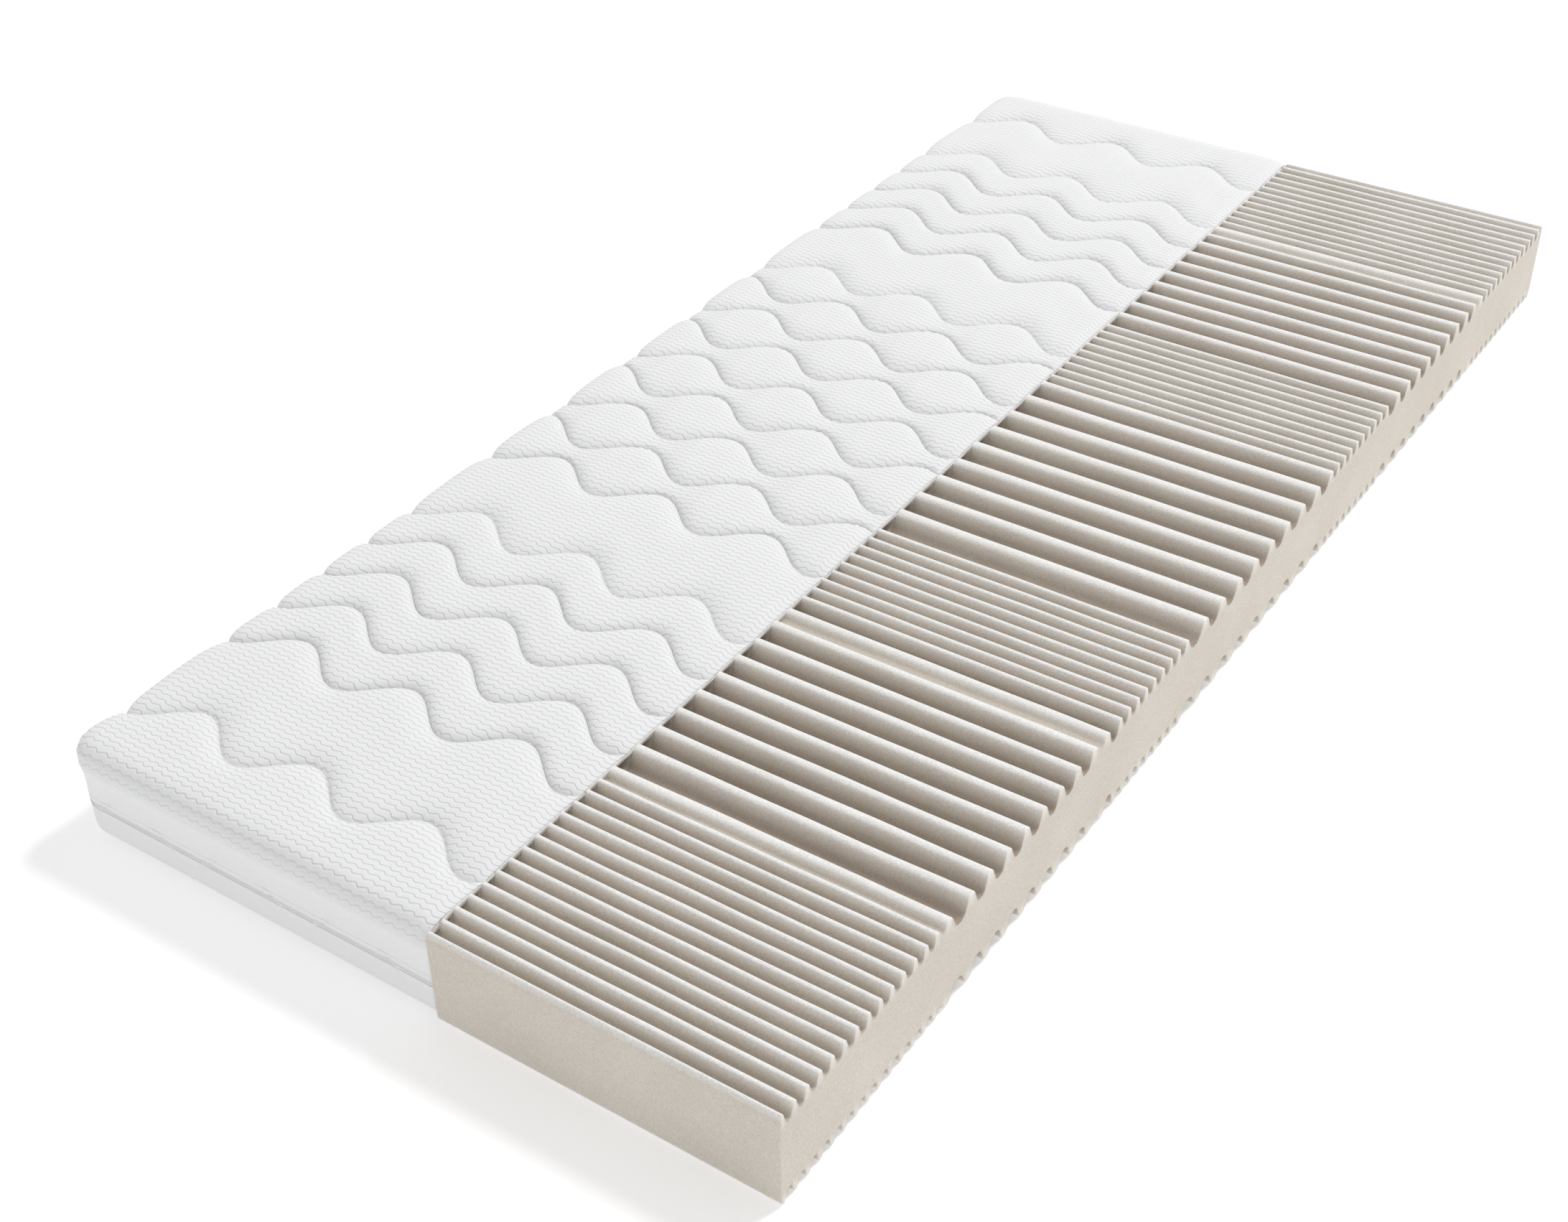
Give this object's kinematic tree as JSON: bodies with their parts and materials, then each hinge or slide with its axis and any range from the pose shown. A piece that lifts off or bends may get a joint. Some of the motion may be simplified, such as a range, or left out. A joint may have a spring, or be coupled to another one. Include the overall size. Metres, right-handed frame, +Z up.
{
  "type": "foam mattress with cutaway cover",
  "caption": "Long flat zoned foam mattress block with ribbed faces, shown with its quilted zip-off cover cut away lengthwise over one side.",
  "frame": {"origin": "middle of the underside, on the floor plane", "axes": "+Z up through the thickness, +Y along the length towards the head or far end, +X across the width towards the bare foam side"},
  "size_m": [0.9045, 2, 0.118],
  "materials": {
    "foam": "matte",
    "cover_knit": "matte",
    "wadding": "matte",
    "lining": "matte",
    "thread": "matte",
    "zip_tape": "matte",
    "zip_coil": "satin",
    "zip_metal": "satin"
  },
  "bodies": {
    "covered_core": {"foam_core": "foam", "lower_cover_fabric": "cover_knit", "lower_cover_wadding": "wadding", "lower_cover_lining": "lining", "lower_quilting_thread": "thread", "lower_corner_seams": "thread", "lower_zip_stitching": "thread", "lower_zip_tape": "zip_tape", "lower_zip_coil": "zip_coil", "lower_zip_stop": "zip_metal"},
    "upper_cover": {"upper_cover_fabric": "cover_knit", "upper_cover_wadding": "wadding", "upper_cover_lining": "lining", "upper_quilting_thread": "thread", "upper_corner_seams": "thread", "upper_zip_stitching": "thread", "upper_zip_tape": "zip_tape", "upper_zip_coil": "zip_coil", "upper_zip_stop": "zip_metal"},
    "slider": {"zip_slider": "zip_metal"},
    "pull_tab": {"zip_pull_tab": "zip_metal"}
  },
  "joints": [
    {"name": "cover_lift", "type": "slide", "parent": "covered_core", "child": "upper_cover", "axis": [0, 0, 1], "range_m": [0, 0.25]},
    {"name": "zip_run", "type": "slide", "parent": "covered_core", "child": "slider", "axis": [0, -1, 0], "range_m": [0, 1.76]},
    {"name": "tab_swing", "type": "hinge", "parent": "slider", "child": "pull_tab", "pos_m": [-0.4525, 0.88, 0.05], "axis": [0, 0, -1], "range_deg": [0, 175]}
  ]
}
